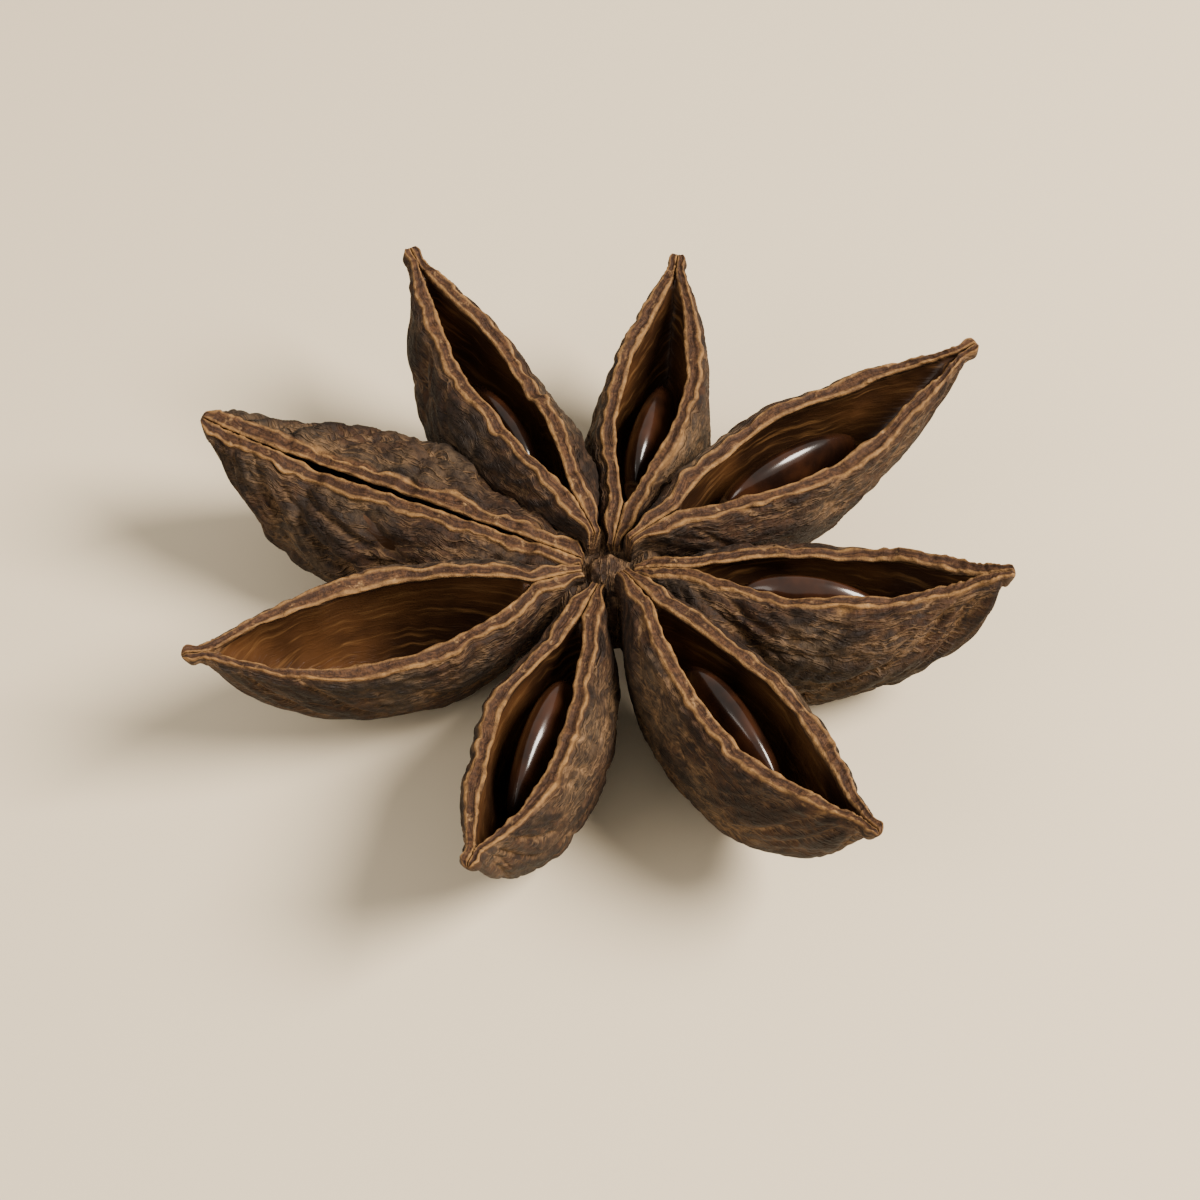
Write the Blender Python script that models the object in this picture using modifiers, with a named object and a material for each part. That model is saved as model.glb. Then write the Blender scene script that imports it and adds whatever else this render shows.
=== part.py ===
"""A star anise pod: one dried star-shaped fruit of eight boat-shaped carpels, lying open side up.

Metres, +Z up. The origin is on the surface that the pod lies on, under the middle of its outline.
The woody star is one solid, and each shiny seed that lies loose in an open carpel is another.
"""

import math
from collections import namedtuple

import bmesh
import bpy
from mathutils import Matrix, Vector

MM = 0.001

# Driving sizes of an average carpel.
REACH = 13.8 * MM  # from the fruit's axis to the beak at the tip
ROOT = 0.9 * MM  # where a carpel starts, inside the hub
HALF_WIDTH = 2.2 * MM  # at the belly
DEPTH = 5.9 * MM  # from the lips down to the keel
LIP = 0.6 * MM  # thickness of a lip
WALL = 0.65 * MM  # thickness of the side walls
KEEL_WALL = 0.95 * MM  # thickness under the cavity
RIM_AT_HUB = 5.0 * MM  # height of the lips where they meet
RIM_RISE = 1.3 * MM  # how far the lips climb from there to the tip
TIP_RISE = 0.6 * MM  # how far the tip turns up beyond that
RIM_DIP = 0.3  # how far the lips sink for each unit that they spread
BEAK = 0.3 * MM  # half the thickness of the beak at the tip, and of the blade inside the hub

# Shares of a carpel's length.
BELLY = 0.46  # where it is widest
KEEL_END = 0.97  # where the keel has risen to the beak
MOUTH = (0.13, 0.94)  # where the suture has opened
CAVITY = (0.15, 0.91)  # where the hollow starts and ends

# The side walls in cross-section: an ellipse's power below the widest line, and above it.
LOWER_POWER = 1.1
UPPER_POWER = 0.8

SINK = 0.12 * MM  # how much of a resting keel is worn flat
CLEAR = 0.5 * MM  # how far a seed is above the floor of its hollow

# Mesh fineness.
STATIONS = 15  # rings along a carpel
SIDE_POINTS = 8  # points from the keel up to a lip
CAVITY_STATIONS = 11
CAVITY_POINTS = 6

# angle: the way it points, in degrees round +Z from +X.  reach, width, depth: times the average.
# taper: power of the narrowing towards the tip, lower for a blunter one.  gape: half the opening
# between the lips.  lean: roll to its left side, and bend: sideways curve of the tip.  lift: how
# far the keel stays off the surface, or None where the pod rests on it.  seed: the length of its
# seed, or 0 where it is empty.
Carpel = namedtuple("Carpel", "angle reach width depth taper gape lean bend lift seed")
CARPELS = (
    Carpel(202.0, 1.04, 0.98, 1.00, 1.20, 1.40, 12, -0.6, None, 0.0),
    Carpel(251.0, 0.99, 0.92, 0.98, 1.20, 1.05, -5, 0.4, None, 5.6),
    Carpel(302.0, 1.06, 0.96, 1.02, 1.25, 1.15, 4, 0.3, 0.25, 5.8),
    Carpel(353.0, 0.96, 1.06, 0.95, 1.00, 1.00, 9, -0.3, None, 5.6),
    Carpel(35.0, 1.07, 0.95, 1.00, 1.25, 1.20, -8, -0.6, 0.40, 5.8),
    Carpel(77.0, 0.93, 0.94, 0.96, 1.10, 1.05, 3, 0.3, None, 5.2),
    Carpel(118.0, 1.01, 0.97, 1.02, 1.15, 0.80, -6, 0.6, 0.30, 5.4),
    Carpel(160.0, 1.05, 1.18, 0.97, 0.75, 0.10, 14, -0.4, None, 0.0),
)

# The hub in half section, from the middle of its top down its outer side, in millimetres.
HUB = (
    (0.0, 4.7),
    (0.35, 4.6),
    (0.7, 4.1),
    (1.5, 4.5),
    (2.3, 3.9),
    (2.5, 3.1),
    (1.9, 2.3),
    (0.9, 2.0),
    (0.0, 1.9),
)
HUB_STEPS = 24

STALK_RADIUS = 0.75 * MM
STALK_LINE = ((0.0, 0.0, 3.0), (0.1, 0.0, 2.0), (0.4, 0.15, 1.2), (0.8, 0.3, 0.7))  # mm

SEED_HEIGHT = 0.58  # times its length
SEED_THICKNESS = 0.28
SEED_EGG = 0.14  # how much blunter the end towards the hub is
SEED_AT = 0.48  # its middle, as a share of the carpel's length

SHELL_BROWN = (0.105, 0.058, 0.034, 1.0)
SEED_BROWN = (0.16, 0.045, 0.015, 1.0)


def clear_scene():
    for old in list(bpy.data.objects):
        bpy.data.objects.remove(old, do_unlink=True)


def collection(name, helper=False):
    made = bpy.data.collections.new(name)
    made.hide_render = helper
    bpy.context.scene.collection.children.link(made)
    return made


def material(name, colour, roughness):
    made = bpy.data.materials.new(name)
    made.use_nodes = True
    shader = made.node_tree.nodes["Principled BSDF"]
    shader.inputs["Base Color"].default_value = colour
    shader.inputs["Roughness"].default_value = roughness
    shader.inputs["Metallic"].default_value = 0.0
    return made


def put(mesh, name, where):
    made = bpy.data.objects.new(name, mesh)
    where.objects.link(made)
    return made


def as_helper(obj):
    obj.hide_render = True
    obj.display_type = "WIRE"
    return obj


def loft(name, rings):
    """A closed solid through rings of equally many points, with a fan on each end."""
    bm = bmesh.new()
    rows = [[bm.verts.new(point) for point in ring] for ring in rings]
    count = len(rows[0])
    for lower, upper in zip(rows, rows[1:]):
        for i in range(count):
            j = (i + 1) % count
            bm.faces.new((lower[i], lower[j], upper[j], upper[i]))
    for row in (rows[0], rows[-1]):
        bm.faces.new(row)
    bmesh.ops.recalc_face_normals(bm, faces=bm.faces)
    bmesh.ops.triangulate(bm, faces=bm.faces)
    mesh = bpy.data.meshes.new(name)
    bm.to_mesh(mesh)
    bm.free()
    return mesh


def stations(start, end, count):
    """Shares of a carpel's length from start to end, closer together near both."""
    steps = [(1 - math.cos(math.pi * i / count)) / 2 for i in range(count + 1)]
    return [start + (end - start) * step for step in steps]


def bump(s, peak, tip_power):
    """Rises from 0 at s = 0 to 1 at the peak, and falls to 0 at s = 1."""
    root_power = tip_power * peak / (1 - peak)
    return (s / peak) ** root_power * ((1 - s) / (1 - peak)) ** tip_power


def half_width(carpel, s):
    return max(HALF_WIDTH * carpel.width * bump(s, BELLY, carpel.taper), BEAK)


def gape(carpel, s):
    """Half the gap between the lips, at a share s of the length."""
    along = (s - MOUTH[0]) / (MOUTH[1] - MOUTH[0])
    if not 0 < along < 1:
        return 0.0
    return carpel.gape * MM * math.sin(math.pi * along) ** 0.9


def shut_rim(s):
    """The height of the lips before they spread: they climb towards the tip."""
    return RIM_AT_HUB + RIM_RISE * s**0.6 + TIP_RISE * s**7


def rim_height(carpel, s):
    """The lips sink a little where the mouth gapes."""
    return shut_rim(s) - RIM_DIP * gape(carpel, s)


def keel_height(carpel, s):
    fullness = 0.6 + 0.4 * math.sin(math.pi / 2 * min(1.0, s / 0.5))
    bow = max(1 - (s / KEEL_END) ** 4.5, 0) ** (0.65 * carpel.taper)
    return shut_rim(s) - max(DEPTH * carpel.depth * fullness * bow, 2 * BEAK)


def side(width, top_width, keel, rim, widest, count):
    """(y, z) points of one side wall, from the keel up to the lip."""
    low = -math.pi / 2
    high = math.acos(min(0.97, top_width / width) ** (1 / UPPER_POWER))
    middle = keel + widest * (rim - keel)
    points = []
    for i in range(count + 1):
        angle = low + (high - low) * i / count
        if angle < 0:
            y = width * math.cos(angle) ** LOWER_POWER
            z = middle + (middle - keel) * math.sin(angle)
        else:
            y = width * math.cos(angle) ** UPPER_POWER
            z = middle + (rim - middle) * math.sin(angle) / math.sin(high)
        points.append((max(y, 0.0), z))
    return points


def widest_share(carpel):
    """A shut carpel is widest low down, and a gaping one higher up."""
    return 0.55 + 0.15 * carpel.gape


def placed(carpel, s, y, z):
    """A point of a carpel's section at s, in the carpel's own frame."""
    x = ROOT + (REACH * carpel.reach - ROOT) * s
    return Vector((x, y + carpel.bend * MM * s**2, z))


def outer_ring(carpel, s):
    width = half_width(carpel, s)
    lip_out = min(gape(carpel, s) + LIP, 0.93 * width)
    keel = keel_height(carpel, s)
    rim = rim_height(carpel, s)
    wall = side(width, lip_out, keel, rim, widest_share(carpel), SIDE_POINTS)
    return both_sides(carpel, s, wall)


def both_sides(carpel, s, wall):
    """A whole ring from the points of its left wall, which start on the keel line."""
    mirrored = [(-y, z) for y, z in reversed(wall[1:])]
    return [placed(carpel, s, y, z) for y, z in wall + mirrored]


def swell(s):
    """How full the hollow is at s: 1 along its middle, and 0 at both ends."""
    along = (s - CAVITY[0]) / (CAVITY[1] - CAVITY[0])
    return max(math.sin(math.pi * along), 0.0) ** 0.35


def hollow_floor(carpel, s):
    rim = rim_height(carpel, s)
    depth = rim - keel_height(carpel, s) - KEEL_WALL
    return rim - max(depth * swell(s), 0.5 * MM)


def cavity_ring(carpel, s):
    """The hollow's outline at s. It goes on upwards past the lips, so that it cuts the mouth open."""
    width = max((half_width(carpel, s) - WALL) * swell(s), 0.12 * MM)
    mouth = max(min(gape(carpel, s), 0.9 * width), 0.06 * MM)
    rim = rim_height(carpel, s)
    wall = side(width, mouth, hollow_floor(carpel, s), rim, widest_share(carpel), CAVITY_POINTS)
    wall.append((mouth, rim + 1.0 * MM))
    return both_sides(carpel, s, wall)


def turned(carpel):
    """From a carpel's own frame to the pod's: a roll about a line at the lips' height, then a turn."""
    pivot = Matrix.Translation((0, 0, RIM_AT_HUB))
    roll = pivot @ Matrix.Rotation(math.radians(-carpel.lean), 4, "X") @ pivot.inverted()
    return Matrix.Rotation(math.radians(carpel.angle), 4, "Z") @ roll


def seated(mesh, lift):
    """How far a carpel moves up or down, so that its keel rests on the surface or stays off it."""
    lowest = min(v.co.z for v in mesh.vertices)
    return (-SINK if lift is None else lift * MM) - lowest


def build_carpel(carpel, number, helpers):
    """The outside and the hollow of one carpel, in place, and the matrix that put them there."""
    body = loft(f"carpel_{number}", [outer_ring(carpel, s) for s in stations(0, 1, STATIONS)])
    cuts = stations(*CAVITY, CAVITY_STATIONS)
    hollow = loft(f"hollow_{number}", [cavity_ring(carpel, s) for s in cuts])
    matrix = turned(carpel)
    body.transform(matrix)
    up = Matrix.Translation((0, 0, seated(body, carpel.lift)))
    body.transform(up)
    hollow.transform(up @ matrix)
    return (
        as_helper(put(body, f"carpel_{number}", helpers)),
        as_helper(put(hollow, f"hollow_{number}", helpers)),
        up @ matrix,
    )


def build_hub(where):
    """The woody middle that the carpels grow from, turned from its half section."""
    mesh = bpy.data.meshes.new("hub")
    points = [(r * MM, 0, z * MM) for r, z in HUB]
    mesh.from_pydata(points, [(i, i + 1) for i in range(len(points) - 1)], [])
    hub = put(mesh, "hub", where)
    spin = hub.modifiers.new("turn", "SCREW")
    spin.steps = spin.render_steps = HUB_STEPS
    spin.use_merge_vertices = True
    spin.merge_threshold = 0.00001
    spin.use_normal_calculate = True
    return hub


def mesh_of(obj, weld):
    """The evaluated mesh of an object, with points closer than weld made one."""
    graph = bpy.context.evaluated_depsgraph_get()
    mesh = bpy.data.meshes.new_from_object(obj.evaluated_get(graph))
    mesh.transform(obj.matrix_world)
    bm = bmesh.new()
    bm.from_mesh(mesh)
    bmesh.ops.remove_doubles(bm, verts=bm.verts, dist=weld)
    bmesh.ops.recalc_face_normals(bm, faces=bm.faces)
    bm.to_mesh(mesh)
    bm.free()
    return mesh


def build_stalk(helpers):
    """The stub that is left of the stalk, under the hub and clear of the surface."""
    line = bpy.data.curves.new("stalk_line", "CURVE")
    line.dimensions = "3D"
    line.bevel_depth = STALK_RADIUS
    line.bevel_resolution = 2
    line.use_fill_caps = True
    spline = line.splines.new("POLY")
    spline.points.add(len(STALK_LINE) - 1)
    for point, place in zip(spline.points, STALK_LINE):
        point.co = (*(value * MM for value in place), 1)
    guide = put(line, "stalk_line", helpers)
    bpy.context.view_layer.update()
    stalk = as_helper(put(mesh_of(guide, 0.00001), "stalk", helpers))
    bpy.data.objects.remove(guide)
    return stalk


def seed_height(carpel, half):
    """The height of a seed's middle, where the seed just clears the floor of the hollow."""
    length = REACH * carpel.reach - ROOT
    heights = []
    for x in (i / 10 for i in range(-9, 10)):
        drop = half * SEED_HEIGHT * math.sqrt(1 - x * x) * (1 - SEED_EGG * x)
        heights.append(hollow_floor(carpel, SEED_AT + x * half / length) + CLEAR + drop)
    return max(heights)


def build_seed(carpel, number, matrix, where):
    """A flattened egg that stands on its edge in the hollow, its blunt end towards the hub."""
    bm = bmesh.new()
    bmesh.ops.create_uvsphere(bm, u_segments=12, v_segments=8, radius=1.0)
    half = carpel.seed * MM / 2
    for vert in bm.verts:
        x, y, z = vert.co.z, vert.co.x, vert.co.y  # the sphere's poles are the seed's ends
        slim = half * (1 - SEED_EGG * x)
        vert.co = (x * half, y * slim * SEED_THICKNESS, z * slim * SEED_HEIGHT)
    mesh = bpy.data.meshes.new(f"seed_{number}")
    bm.to_mesh(mesh)
    bm.free()
    mesh.shade_smooth()
    seed = put(mesh, f"seed_{number}", where)
    middle = placed(carpel, SEED_AT, 0, seed_height(carpel, half))
    seed.matrix_world = matrix @ Matrix.Translation(middle)
    return seed


def floor_cutter(helpers):
    """What the resting keels are cut flat with."""
    bm = bmesh.new()
    bmesh.ops.create_cube(bm, size=1.0)
    size = 4 * REACH
    below = Matrix.Translation((0, 0, -size / 2)) @ Matrix.Scale(size, 4)
    bmesh.ops.transform(bm, verts=bm.verts, matrix=below)
    mesh = bpy.data.meshes.new("floor_cutter")
    bm.to_mesh(mesh)
    bm.free()
    return as_helper(put(mesh, "floor_cutter", helpers))


def join_or_cut(target, operation, others):
    for other in others:
        modifier = target.modifiers.new(f"{operation.lower()}_{other.name}", "BOOLEAN")
        modifier.operation = operation
        modifier.object = other
        modifier.solver = "EXACT"


def middle_of(mesh):
    """The middle of a mesh's outline seen from above, at the surface's height."""
    xs = [v.co.x for v in mesh.vertices]
    ys = [v.co.y for v in mesh.vertices]
    return Vector(((min(xs) + max(xs)) / 2, (min(ys) + max(ys)) / 2, 0))


def build_pod(where, helpers):
    """The whole woody star as one mesh, and where each carpel is."""
    bodies, hollows, matrices = zip(*(build_carpel(c, n, helpers) for n, c in enumerate(CARPELS, 1)))
    core = build_hub(helpers)
    bpy.context.view_layer.update()
    pod = put(mesh_of(core, 0.00001), "pod", where)
    bpy.data.objects.remove(core)
    join_or_cut(pod, "UNION", (*bodies, build_stalk(helpers)))
    join_or_cut(pod, "DIFFERENCE", (*hollows, floor_cutter(helpers)))
    bpy.context.view_layer.update()
    pod.data = mesh_of(pod, 0.000001)
    pod.data.name = "pod"
    pod.modifiers.clear()
    return pod, matrices


def main():
    clear_scene()
    parts = collection("star_anise_pod")
    helpers = collection("cutters", helper=True)
    pod, matrices = build_pod(parts, helpers)
    seeds = [
        build_seed(carpel, number, matrix, parts)
        for number, (carpel, matrix) in enumerate(zip(CARPELS, matrices), 1)
        if carpel.seed
    ]
    centre = Matrix.Translation(-middle_of(pod.data))
    pod.data.transform(centre)
    for seed in seeds:
        seed.matrix_world = centre @ seed.matrix_world
    shell = material("dried_shell", SHELL_BROWN, 0.75)
    coat = material("seed_coat", SEED_BROWN, 0.22)
    pod.data.materials.clear()
    pod.data.materials.append(shell)
    for seed in seeds:
        seed.data.materials.append(coat)


main()
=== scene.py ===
# %% [markdown]
# # A dried star anise pod
#
# Star anise is the fruit of an evergreen tree, picked green and dried in the sun until it is brown
# and woody. It is a ring of boat-shaped carpels on one short core. As they dry, most of them split
# along the upper edge and gape, and a glossy seed shows in each. This lesson builds one pod, lying
# with its open side up: eight carpels, the core, the stub of its stalk and six seeds.
#
# The solid model of the pod is already there as a fixed frame, and all that is built here takes its
# place. The frame's sizes hold: nothing here grows past its box.

# %% Load the frame
import math
from collections import namedtuple

import bpy
import numpy as np
from mathutils import Matrix, Vector, noise


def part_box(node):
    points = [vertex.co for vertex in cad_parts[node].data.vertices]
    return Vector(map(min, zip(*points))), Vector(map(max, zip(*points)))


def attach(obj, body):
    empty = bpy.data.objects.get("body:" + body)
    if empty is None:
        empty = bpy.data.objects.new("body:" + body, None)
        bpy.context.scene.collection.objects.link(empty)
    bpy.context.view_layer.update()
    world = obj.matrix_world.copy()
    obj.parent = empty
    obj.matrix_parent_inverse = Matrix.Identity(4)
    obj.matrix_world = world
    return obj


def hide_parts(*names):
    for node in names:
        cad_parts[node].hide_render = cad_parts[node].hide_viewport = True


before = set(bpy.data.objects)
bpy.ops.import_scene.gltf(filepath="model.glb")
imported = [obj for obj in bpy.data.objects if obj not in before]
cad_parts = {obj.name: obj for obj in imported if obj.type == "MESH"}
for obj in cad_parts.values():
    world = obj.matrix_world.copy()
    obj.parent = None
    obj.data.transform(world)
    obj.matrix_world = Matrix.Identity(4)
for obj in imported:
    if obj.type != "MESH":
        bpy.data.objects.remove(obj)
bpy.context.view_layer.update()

MM = 0.001
print("pieces of the frame:", sorted(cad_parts))

# %% [markdown]
# ## The eight carpels in numbers
#
# No two carpels of a pod are alike, so each has a row in a table: where it points, how long, wide
# and deep it is, how far its lips have come apart, how it leans, and how badly it shrivelled.
# All the lengths are in millimetres until a mesh is made.
#
# The angle is in degrees round the core. Reach, width and depth are shares of an average carpel's.
# A larger taper gives a slimmer tip. Gape is half the gap between the lips, lean is how far the
# carpel is rolled over in degrees, and bend is how far its tip is off to one side. Lift is how far
# it hangs above the surface, and None where it rests on it. Seed is its seed's length, or 0.

# %% One row for each carpel
Carpel = namedtuple("Carpel", "angle reach width depth taper gape lean bend lift seed rough")
CARPELS = {
    1: Carpel(202, 1.04, 0.98, 1.00, 1.20, 1.40, 12, -0.6, None, 0.0, 0.8),
    2: Carpel(251, 0.99, 0.92, 0.98, 1.20, 1.05, -5, 0.4, None, 5.6, 0.9),
    3: Carpel(302, 1.06, 0.96, 1.02, 1.25, 1.15, 4, 0.3, 0.25, 5.8, 0.8),
    4: Carpel(353, 0.96, 1.06, 0.95, 1.00, 1.00, 9, -0.3, None, 5.6, 1.6),
    5: Carpel(35, 1.07, 0.95, 1.00, 1.25, 1.20, -8, -0.6, 0.40, 5.8, 0.9),
    6: Carpel(77, 0.93, 0.94, 0.96, 1.10, 1.05, 3, 0.3, None, 5.2, 1.0),
    7: Carpel(118, 1.01, 0.97, 1.02, 1.15, 0.80, -6, 0.6, 0.30, 5.4, 1.2),
    8: Carpel(160, 1.05, 1.18, 0.97, 0.75, 0.10, 14, -0.4, None, 0.0, 2.1),
}
for number, carpel in CARPELS.items():
    print(f"carpel {number} points to {carpel.angle} degrees and gapes {2 * carpel.gape:.1f} mm")

# %% Sizes of an average carpel
REACH = 13.8  # from the pod's axis to the beak
ROOT = 0.9  # where a carpel starts, inside the core
HALF_WIDTH = 2.2  # at the belly
DEPTH = 5.9  # from the lips to the keel
LIP = 0.5  # thickness of a lip
WALL = 0.65
KEEL_WALL = 0.95
RIM_AT_HUB = 5.0
RIM_RISE = 1.3  # how far the lips climb towards the tip
TIP_RISE = 0.6  # and how far the tip turns up beyond that
RIM_DIP = 0.3  # how far the lips sink for each unit that they spread
BELLY = 0.46  # where a carpel is widest, as a share of its length
KEEL_END = 0.97  # where the keel has risen to the beak
MOUTH = (0.13, 0.94)  # where the lips are apart
CAVITY = (0.15, 0.91)  # where the hollow starts and ends
SINK = 0.12  # what the surface has worn off a resting keel

# %% [markdown]
# ## The shape of a carpel
#
# A carpel is a boat: a keel below, two side walls that belly out, and two lips above. Modelling it
# as one closed skin, outside and inside, gives the lips a real thickness. The skin is a grid: its
# rows are rings across the boat, from the core to the beak, and each ring runs down the outside of
# one wall, round the keel, up the other, over the lip and back along the inside. Everything that
# follows is then a formula of two numbers, the share s of the length and the place round the ring.

# %% Profiles along the length
def bump(s, peak, tip_power):
    """Rises from 0 at s = 0 to 1 at the peak, and falls to 0 at s = 1."""
    root_power = tip_power * peak / (1 - peak)
    return (s / peak) ** root_power * ((1 - s) / (1 - peak)) ** tip_power


def between(s, start, end):
    """0 at start, 1 at end, and held outside them."""
    return np.clip((s - start) / (end - start), 0, 1)


def smooth(t):
    return t * t * (3 - 2 * t)


def hump(t, at, width):
    """1 at one place, and down to nothing on both sides of it."""
    return np.exp(-(((t - at) / width) ** 2))


BEAK = 0.24  # half the thickness of the beak's neck
KNOB = 0.09  # and how much thicker the knob at its end is
KNOB_AT = 0.978
KNOB_LENGTH = 0.014


def beak(s):
    """The beak's half thickness: a neck, a small knob, and a round end."""
    past = between(s, KNOB_AT, 1.0)
    thick = BEAK + KNOB * hump(s, KNOB_AT, KNOB_LENGTH)
    return thick * np.sqrt(np.maximum(1 - past**2, 0.0004))


def half_width(carpel, s):
    """The belly's width, which runs out into the beak without a step."""
    belly = HALF_WIDTH * carpel.width * bump(s, BELLY, carpel.taper)
    return (belly**6 + beak(s) ** 6) ** (1 / 6)


def gape(carpel, s):
    along = between(s, *MOUTH)
    return carpel.gape * np.sin(np.pi * along) ** 0.9


def shut_rim(s):
    return RIM_AT_HUB + RIM_RISE * s**0.6 + TIP_RISE * s**7 - 0.8 * (BEAK - np.minimum(beak(s), BEAK))


def rim_height(carpel, s):
    return shut_rim(s) - RIM_DIP * gape(carpel, s)


def keel_height(carpel, s):
    fullness = 0.6 + 0.4 * np.sin(np.pi / 2 * np.minimum(1, s / 0.5))
    bow = np.maximum(1 - (s / KEEL_END) ** 4.5, 0) ** (0.65 * carpel.taper)
    depth = DEPTH * carpel.depth * fullness * bow
    return shut_rim(s) - (depth**4 + (2 * beak(s)) ** 4) ** 0.25


def swell(s):
    """How full the hollow is: 1 along its middle and 0 at both ends."""
    return np.sin(np.pi * between(s, *CAVITY)) ** 0.35


def hollow_floor(carpel, s):
    rim = rim_height(carpel, s)
    depth = rim - keel_height(carpel, s) - KEEL_WALL
    least = np.minimum(0.5, beak(s))
    return rim - np.maximum(depth * swell(s), least)


sample = np.linspace(0.1, 0.9, 5)
print("half widths of carpel 1:", np.round(half_width(CARPELS[1], sample), 2))

# %% [markdown]
# Across the boat, a wall is a stretched quarter ellipse below its widest line and a squarer one
# above it. A wall's two powers say how far each part is from a plain ellipse, whose power is 1.

# %% One wall across the boat
LOWER_POWER = 1.1
UPPER_POWER = 0.8


def wall(width, top, keel, rim, widest, share):
    """How far out and how high a wall is, from its keel (share 0) to its lip (share 1)."""
    high = np.arccos(np.minimum(0.97, top / width) ** (1 / UPPER_POWER))
    angle = -np.pi / 2 + (high + np.pi / 2) * share
    middle = keel + widest * (rim - keel)
    power = np.where(angle < 0, LOWER_POWER, UPPER_POWER)
    out = width * np.maximum(np.cos(angle), 0) ** power
    below = middle + (middle - keel) * np.sin(angle)
    above = middle + (rim - middle) * np.sin(angle) / np.sin(high)
    return out, np.where(angle < 0, below, above)


# %% [markdown]
# The lips of a dried pod are never even. They are frayed, they wander, and they vary in thickness,
# so the rim's height, the gap and the thickness each get a slow wave and a quick one. Blender's own
# noise gives both: it is the same at each run, and a number added to it picks another stretch.
# A lip is a band between the tops of the outer and the inner wall. The skin outside and the hard
# lining inside stand up as two edges, and the pith between them has shrunk to a groove.

# %% Unevenness along a line
RIM_WAVES = ((2.2, 0.14, 0), (0.6, 0.05, 3))  # for each: how long, how high, and which stretch
GAP_WAVES = ((2.6, 0.22, 5), (0.7, 0.06, 7))
THICKNESS_WAVES = ((1.5, 0.4, 9), (0.5, 0.25, 11))
NICK_EVERY = 1.1  # a lip is torn about this often,
NICK_ABOVE = 0.3  # where its noise is above this,
NICK_DEPTH = 0.45  # by this much for each unit above it


def wander(positions, period, pick):
    """Noise from about -1 to 1 along a line, with bumps of roughly the period, in millimetres."""
    return np.array([noise.noise(Vector((p / period, pick, 0.37 * pick))) for p in positions])


def waves(positions, rows, pick):
    """All the wanders of some rows together."""
    return sum(high * wander(positions, long, pick + stretch) for long, high, stretch in rows)


# %% How finely a carpel is made
LENGTHWISE = 190
OUTSIDE = 76  # points down one wall
INSIDE = 30
BEAD = 13  # points over a lip


def stations(start, end, count):
    """Places from start to end that are closer together towards both."""
    steps = (1 - np.cos(np.pi * np.arange(count + 1) / count)) / 2
    return start + (end - start) * steps


along = stations(0.0, 0.9995, LENGTHWISE)
over = np.linspace(0, 1, BEAD + 2)[1:-1]  # places over a lip, from its outer to its inner edge
one_side = np.repeat([0, 1, 2], [OUTSIDE, BEAD, INSIDE])
bands = np.concatenate([one_side, one_side[::-1]])
on_wall, on_lip, in_hollow = (bands == band for band in range(3))
print(len(along), "rings of", len(bands), "points")

# %% Sizes of a lip
BEAD_HEIGHT = 0.15
BEAD_GROOVE = 0.5  # how deep the groove between a lip's two edges is, as a share of that
GROOVE_WIDTH = 0.18  # as a share of the lip's thickness
EDGE = 0.16  # how far in each edge's crest is, and how wide, as the same share
SLIT = 0.012  # half the gap where the lips are shut
RIM_BELOW = 0.1  # the walls end this much lower, because the bead stands on them
LIP_AT_MOST = 0.93  # how far out a lip's outer edge may be, as a share of the half width
MOUTH_AT_MOST = 0.85  # and its inner edge, as a share of that
WIDEST = 0.55  # how high a shut carpel's widest line is, as a share of its depth
WIDEST_GAPING = 0.15  # and how much higher it is for each unit of gape

bead_profile = np.sin(np.pi * over**0.8) ** 0.6 - BEAD_GROOVE * hump(over, 0.5, GROOVE_WIDTH)
lip_edges = hump(over, EDGE, EDGE) + hump(over, 1 - EDGE, EDGE)
print("a lip's profile:", np.round(BEAD_HEIGHT * bead_profile, 2))


# %% One half of the rings
def uneven_lip(x, pick, rough):
    """How much higher and wider apart one lip is than an even one, and its thickness as a share."""
    taper = smooth(between(along, 0.03, 0.2)) * smooth(between(along, 1.0, 0.9))
    fray = (0.7 + 0.3 * rough) * taper
    nick = np.maximum(wander(x, NICK_EVERY, pick + 13) - NICK_ABOVE, 0)
    up = fray * (waves(x, RIM_WAVES, pick) - NICK_DEPTH * nick)
    apart = fray * waves(x, GAP_WAVES, pick)
    thick = 1 + waves(x, THICKNESS_WAVES, pick)
    return up[:, None], apart[:, None], thick[:, None]


def half_rings(carpel, s, up, apart, thick):
    """How far out and how high each place is, from the keel over the lip to the hollow's floor."""
    rim = rim_height(carpel, s) + up - RIM_BELOW
    mouth = np.maximum(gape(carpel, s) + apart * np.minimum(1, carpel.gape), SLIT)
    width = half_width(carpel, s)
    lip_out = np.minimum(mouth + LIP * thick, LIP_AT_MOST * width)
    mouth = np.minimum(mouth, MOUTH_AT_MOST * lip_out)
    widest = WIDEST + WIDEST_GAPING * carpel.gape
    outer = wall(width, lip_out, keel_height(carpel, s), rim, widest, np.linspace(0, 1, OUTSIDE))
    room = np.maximum((width - WALL) * swell(s), 0.04)
    mouth_in = np.minimum(mouth, 0.9 * np.maximum(room, mouth))
    room = np.maximum(room, mouth_in * 1.03)
    floor = hollow_floor(carpel, s) + up
    inner = wall(room, mouth_in, floor, rim, widest, np.linspace(0, 1, INSIDE))
    bead_out = lip_out + (mouth_in - lip_out) * smooth(over)
    bead_up = rim + BEAD_HEIGHT * np.minimum(1, beak(s) / BEAK) * bead_profile
    out = np.concatenate([outer[0], bead_out, inner[0][:, ::-1]], axis=1)
    high = np.concatenate([outer[1], bead_up, inner[1][:, ::-1]], axis=1)
    return out, high


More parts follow.
